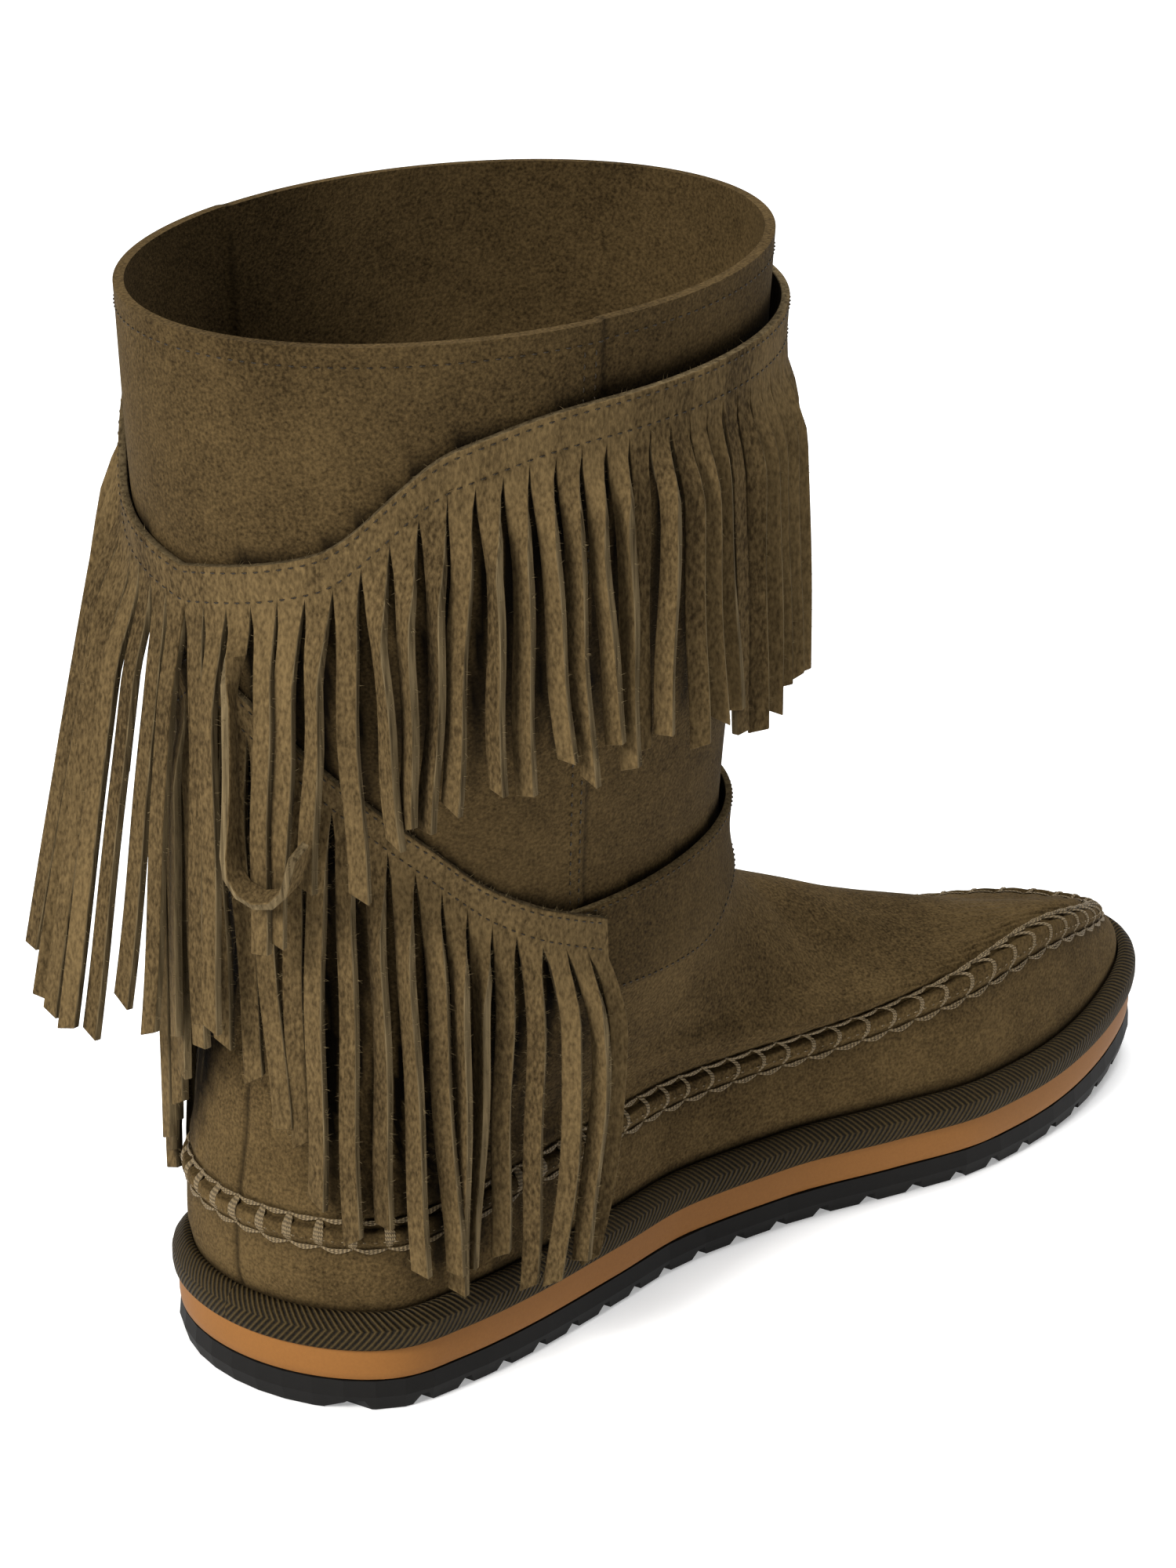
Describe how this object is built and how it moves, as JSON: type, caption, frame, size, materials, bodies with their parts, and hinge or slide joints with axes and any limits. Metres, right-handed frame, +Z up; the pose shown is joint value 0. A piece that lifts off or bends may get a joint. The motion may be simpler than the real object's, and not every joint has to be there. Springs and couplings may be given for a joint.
{
  "type": "boot",
  "caption": "Left moccasin style suede ankle boot with a fringe on the shaft, a strap over the instep and a flat foam and rubber sole",
  "frame": {"origin": "below the middle of the boot's box, on the floor", "axes": "+X points to the toe, +Y to the foot's outer side, +Z up"},
  "size_m": [0.2866, 0.1314, 0.2322],
  "materials": {
    "outsole_rubber": "matt charcoal",
    "midsole_foam": "matt tan foam",
    "rand_tape": "dark olive twill",
    "insole_felt": "plain felt",
    "upper_suede": "olive brown suede",
    "strap_suede": "olive brown suede",
    "fringe_suede": "olive brown suede with cut edges"
  },
  "bodies": {
    "root": {"outsole": "outsole_rubber", "midsole": "midsole_foam", "rand": "rand_tape", "insole": "insole_felt", "upper": "upper_suede", "ankle_strap": "strap_suede", "lower_fringe": "fringe_suede", "upper_fringe": "fringe_suede"}
  },
  "joints": []
}
